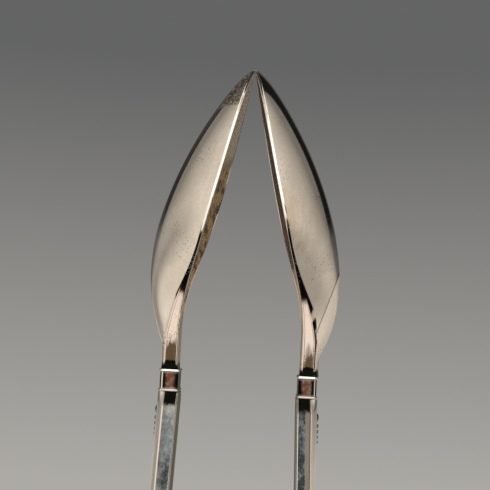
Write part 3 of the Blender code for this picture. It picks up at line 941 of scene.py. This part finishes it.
def makeLeaf(label, side):
    # Low dome height * sin(pi t)^0.7 * (1 - |s|^2.4), with a raised midrib and slanting
    # veins cut as a cosine, on a flat underside.
    o = ornament
    t = np.linspace(0.02, 0.98, 44)[:, None]
    s = np.linspace(-1, 1, 41)[None, :]
    fullness = np.sin(np.pi * t) ** 0.7
    rib = np.exp(-(s / o["ribWidth"]) ** 2)
    veins = 0.5 + 0.5 * np.cos(2 * np.pi * (o["veins"] * t - 1.1 * np.abs(s)))
    relief = (1 - np.abs(s) ** 2.4) * (0.62 + 0.22 * veins * (1 - rib) + 0.3 * rib)
    base = arm["halfThickness"] - 0.05
    u = base + o["leafHeight"] * fullness * relief
    y = o["leafHalfWidth"] * fullness * s * (1 + 0.08 * np.cos(2 * np.pi * o["veins"] * t))
    top = np.stack(np.broadcast_arrays(u, y), -1)
    under = np.stack([np.full(top.shape[:2], base - 0.05), top[..., 1] * 0.96], -1)[:, ::-1]
    section = np.concatenate([top, under], axis=1)
    v = o["leafStart"] + o["leafLength"] * t
    points = armPoints(side, section[..., 0], section[..., 1], v)
    rubbed = np.concatenate([relief * fullness, np.zeros(under.shape[:2])], axis=1)
    piece = gridPiece(f"{label}_leaf_relief", points, silvers["ornament"], {"rubbed": rubbed})
    settle(piece, f"{label}_leaf", f"{label}_arm")


def turned(side, v, u, radius, segments):
    # turns a profile (u, radius) about an axis square to the arm's outer face
    angle = np.linspace(0, 2 * np.pi, segments, endpoint=False)[None, :]
    u, radius = np.asarray(u)[:, None], np.asarray(radius)[:, None]
    return armPoints(side, u, radius * np.cos(angle), v + radius * np.sin(angle))


def makeBeads(label, side):
    # domes u = sin, radius = cos, each on a low fillet a little wider than itself
    o = ornament
    base = arm["halfThickness"]
    v = o["leafStart"] + o["leafLength"] + o["beadSpace"]
    turn = np.linspace(0.12, np.pi / 2 - 0.04, 12)
    for number in range(1, o["beadCount"] + 1):
        size = o["beadRadius"] - o["beadStepDown"] * (number - 1)
        v += size
        u = np.concatenate([[base - o["sunk"], base], base + 0.05 + size * np.sin(turn)])
        radius = size * np.concatenate([o["fillet"], np.cos(turn)])
        points = turned(side, v, u, radius, 32)
        rubbed = np.concatenate([[0, 0], np.sin(turn)])[:, None]
        name = f"{label}_bead_{number}"
        piece = gridPiece(f"{name}_dome", points, silvers["ornament"], {"rubbed": rubbed})
        settle(piece, name, f"{label}_arm")
        v += size + o["beadSpace"]


rivet = {
    "places": {"upper": 65.8, "lower": 70.6},
    "shaftRadius": 0.8,
    "headRadius": 1.5,
    "headHeight": 0.55,
    "headFoot": 0.97,            # radius of the head where it meets the arm, as a share
}


def makeRivets(label, side):
    # two low domed heads, height * cos(angle) over radius * sin(angle), on one shaft
    r = rivet
    turn = np.linspace(0.02, np.pi / 2, 14)
    domeRadius = r["headRadius"] * np.sin(turn)
    domeHeight = r["headHeight"] * np.cos(turn)
    foot = [r["headRadius"] * r["headFoot"], r["shaftRadius"]]
    legInner = -arm["halfThickness"]
    for place, v in r["places"].items():
        u = np.concatenate([
            legInner - domeHeight, [legInner, legInner], [lapOuter, lapOuter],
            lapOuter + domeHeight[::-1],
        ])
        radius = np.concatenate([domeRadius, foot, foot[::-1], domeRadius[::-1]])
        points = turned(side, v, u, radius, 48)
        name = f"{label}_{place}_rivet"
        ends = np.abs(u - u.mean()) / np.ptp(u) * 2
        marks = {"edge": ends[:, None] ** 4}
        piece = gridPiece(f"{name}_turned", points, silvers["spring"], marks)
        settle(piece, name, f"{label}_arm")


bow = {
    "halfWidth": 5.0,
    "crownHalfWidth": 6.0,
    "cornerRadius": 11.5,
    "edgeRounding": 0.42,
    "faceCrown": 0.07,
    "edgeCrown": 0.05,
    "bendStart": (1.0, 1.2),     # (x, z) where the bend begins and ends
    "bendEnd": (15.2, 26.5),
}


def makeBowHalf(label, side):
    # Strip carried from the crown's middle round the corner arc and up the leg. Its half
    # width swells by cos^2 of the turn.
    b = bow
    half = arm["stripThickness"] / 2
    corner = math.pi / 2 + arm["lean"]
    legTop = armPoints(1, stripOuter - half, 0.0, arm["lapStart"] + collar["clearance"])
    cornerOut = b["cornerRadius"] * math.sin(corner)
    cornerUp = half + b["cornerRadius"] * (1 - math.cos(corner))
    crownHalf = legTop[0] + (legTop[2] - cornerUp) * math.tan(arm["lean"]) - cornerOut
    turn = np.linspace(0, corner, 60)
    out = crownHalf + b["cornerRadius"] * np.sin(turn)
    up = half + b["cornerRadius"] * (1 - np.cos(turn))
    part = stations((0, 0.9, 30), (0.9, 1.0, 6))[1:]
    crown = np.linspace(0, crownHalf, 10, endpoint=False)
    x = np.concatenate([crown, out, mix(out[-1], legTop[0], part)])
    z = np.concatenate([crown * 0 + half, up, mix(up[-1], legTop[2], part)])
    turn = np.concatenate([crown * 0, turn, part * 0 + corner])
    swell = np.cos(np.minimum(turn, np.pi / 2)) ** 2
    halfWidth = mix(b["halfWidth"], b["crownHalfWidth"], swell)
    corners = cornerRows(
        (half, -halfWidth), (half, halfWidth), (-half, halfWidth), (-half, -halfWidth)
    )
    crowns = np.array([b["faceCrown"], b["edgeCrown"], b["faceCrown"] / 2, b["edgeCrown"]])
    ring, edge = roundedOutline(corners, b["edgeRounding"], crowns, 9)
    px = x[:, None] + ring[..., 0] * np.sin(turn)[:, None]
    pz = z[:, None] - ring[..., 0] * np.cos(turn)[:, None]
    points = np.stack([side * px, ring[..., 1], pz], -1)
    piece = gridPiece(f"bow_{label}_half", points, silvers["spring"], {"edge": edge})
    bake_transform(piece)
    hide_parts("bow")


silvers = {
    "leftSpoon": polishedSilver("polishedSilverLeft", -1),
    "rightSpoon": polishedSilver("polishedSilverRight", 1),
    "collar": collarSilver("collarSilver"),
    "leftArm": wornSilver("leftWornSilver", -1),
    "rightArm": wornSilver("rightWornSilver", 1),
    "ornament": oxidisedSilver("oxidisedSilver"),
    "spring": springSilver("springSilver"),
}
print("finishes made:", len(silvers))

for label, side in sides.items():
    makeSpoon(label, side)
    makeCollar(label, side)
    makeArm(label, side)
    makeLeaf(label, side)
    makeBeads(label, side)
    makeRivets(label, side)
    makeBowHalf(label, side)
    print("pieces made:", label)


floorPlan = {
    "radius": 0.29,
    "fadeFrom": 0.15,
    "drop": 0.0002,
    "colour": (0.80, 0.79, 0.77),
    "speckled": (0.7, 0.69, 0.67),
    "roughness": 0.7,
    "patterns": {"grain": (300, 3)},
}


def makeFloor():
    # round pale sheet z = -drop, whose alpha falls to 0 towards its rim
    f = floorPlan
    material, graph, place, (grain,) = newSurface("paleFloor", f["patterns"])
    away = graph.node("VectorMath", {"operation": "LENGTH"}, {0: place}, output="Value")
    shader = graph.node("BsdfPrincipled", {}, {
        "Base Color": graph.blend(grain * 0.1, f["colour"], f["speckled"]),
        "Roughness": f["roughness"], "Alpha": away.rise(f["radius"], f["fadeFrom"]),
    })
    graph.node("OutputMaterial", {}, {"Surface": shader})
    angle = np.linspace(0, 2 * np.pi, 96, endpoint=False)
    ring = np.stack([np.cos(angle), np.sin(angle)], -1) * f["radius"]
    points = np.column_stack([ring, np.full(len(angle), -f["drop"])])
    mesh = bpy.data.meshes.new("floor")
    mesh.from_pydata(points, [], [list(range(len(angle)))])
    floor = inScene("floor", mesh, material)
    floor.visible_glossy = False


# Lit cards of the studio round the silver: azimuth 0 is in front and + to the right,
# elevation 0 is level, both in degrees; later cards cover earlier ones. The outer edge of
# a drawn-in card moves in by narrowing * (elevation - peak)^2.
studio = {
    "base": (0.03, 0.03, 0.029),
    "cards": {                   # azimuths, elevations, softness and colour
        "dimBack": ((90, 270), (-90, 90), 6, (0.030, 0.029, 0.026)),
        "rightDark": ((90, 158), (9, 90), 12, (0.010, 0.010, 0.010)),
        "rightOuter": ((160, 184), (0, 50), 14, (0.10, 0.10, 0.092)),
        "leftGrey": ((-185, -152), (26, 62), 22, (0.15, 0.135, 0.115)),
        "greyLevel": ((96, 264), (-6, 11), 7, (0.125, 0.12, 0.108)),
        "lowBack": ((80, 280), (-90, -3.5), 5, (0.52, 0.48, 0.42)),
        "rearDark": ((163, 197), (-34, 0), 8, (0.14, 0.13, 0.10)),
        "rightTent": ((12, 130), (-65, 90), 2.5, (0.20, 0.18, 0.155)),
        "leftTent": ((-12, -136), (-65, 90), 2.5, (0.25, 0.225, 0.195)),
        "rightNear": ((-14, 90), (-70, 110), 50, (0.74, 0.65, 0.55)),
        "leftNear": ((14, -96), (-70, 110), 50, (0.80, 0.705, 0.60)),
        "rightLow": ((20, 112), (-62, -12), 22, (0.41, 0.36, 0.305)),
        "leftLow": ((-76, -124), (-62, 2), 20, (0.34, 0.305, 0.265)),
        "ceiling": ((-180, 180), (68, 112), 10, (0.05, 0.048, 0.045)),
        "key": ((-13, 13), (5, 88), 4, (1.7, 1.66, 1.58)),
        "topKey": ((-30, 30), (70, 110), 6, (1.5, 1.46, 1.4)),
        "frontLevel": ((-17, 9), (-23, 7), 3, (1.25, 1.17, 1.07)),
        "frontLow": ((-22, 9), (-38, -18), 4, (1.15, 1.08, 0.98)),
        "rightGap": ((9, 34), (-62, -18), 3, (0.004, 0.004, 0.004)),
        "rightEdge": ((8, 36), (-9, 4.5), 2, (0.004, 0.004, 0.004)),
        "lowGap": ((-34, 13), (-66, -40), 3, (0.004, 0.004, 0.004)),
        "leftGap": ((-23, -36), (-62, -27), 3, (0.004, 0.004, 0.004)),
        "leftEdge": ((-18, -60), (-14, 5), 12, (0.88, 0.82, 0.71)),
    },
    "peak": 33,
    "narrowing": 0.028,
    "drawnIn": {"rightTent": 42, "leftTent": 48},     # and the most that their edges draw in
    "backdropTop": (0.127, 0.128, 0.128),
    "backdropFoot": (0.415, 0.402, 0.378),
    "backdropSpan": (15.5, -8.5),
    "backdropCurve": 1.2,
}


def makeStudio():
    # Each card's mask is the product of straight ramps at its four edges. What the camera
    # sees directly is a plain grey that lightens downwards.
    world = bpy.data.worlds.new("studio")
    world.use_nodes = True
    bpy.context.scene.world = world
    graph = Graph(world.node_tree)
    direction = graph.node("TexCoord", output="Generated")
    x, y, z = (graph.axis(direction, letter) for letter in "XYZ")
    azimuth = x.calc("ARCTAN2", x, 0 - y) * math.degrees(1)
    elevation = z.calc("ARCSINE", z) * math.degrees(1)
    light = studio["base"]
    for name, (azimuths, elevations, softness, colour) in studio["cards"].items():
        inner, outer = azimuths
        low, high = elevations
        soft = softness / 2
        half = abs(outer - inner) / 2
        aside = azimuth - (inner + outer) / 2
        aside = aside.calc("WRAP", aside, 180.0, -180.0) * math.copysign(1, outer - inner)
        mask = aside.rise(-half - soft, -half + soft)
        if name in studio["drawnIn"]:
            fall = elevation - studio["peak"]
            fall = fall * fall * studio["narrowing"]
            aside = aside + fall.calc("MINIMUM", fall, studio["drawnIn"][name])
        mask = mask * aside.rise(half + soft, half - soft)
        away = (elevation - (low + high) / 2).absolute()
        mask = mask * away.rise((high - low) / 2 + soft, (high - low) / 2 - soft)
        light = graph.blend(mask, light, colour)
    depth = elevation.rise(*studio["backdropSpan"]) ** studio["backdropCurve"]
    plain = graph.blend(depth, studio["backdropTop"], studio["backdropFoot"])
    direct = graph.node("LightPath", output="Is Camera Ray")
    seen = graph.blend(direct, light, plain)
    background = graph.node("Background", {}, {"Color": seen, "Strength": 1.0})
    graph.node("OutputWorld", {}, {"Surface": background})


cameraPlan = {
    "target": (-0.00019, 0.0, 0.13275),
    "distance": 0.2085,
    "lookUp": math.radians(5.0),     # the view rises towards the tips
    "turn": math.radians(1.2),
    "roll": math.radians(3.1),
    "lens": 73.35,
    "sensor": 36.0,
}


def makeCamera():
    # stands off from the target along the view's direction, with a little roll about it
    plan = cameraPlan
    camera = bpy.data.objects.new("camera", bpy.data.cameras.new("camera"))
    camera.data.lens = plan["lens"]
    camera.data.sensor_width = plan["sensor"]
    camera.data.clip_start = 0.001
    facing = Euler((math.pi / 2 + plan["lookUp"], 0.0, plan["turn"])).to_quaternion()
    camera.location = Vector(plan["target"]) + facing @ Vector((0, 0, plan["distance"]))
    camera.rotation_euler = (facing @ Quaternion((0, 0, 1), plan["roll"])).to_euler()
    bpy.context.scene.collection.objects.link(camera)
    bpy.context.scene.camera = camera


makeFloor()
makeStudio()
makeCamera()
bpy.context.scene.view_settings.view_transform = "Standard"
print("stage, studio and camera made")
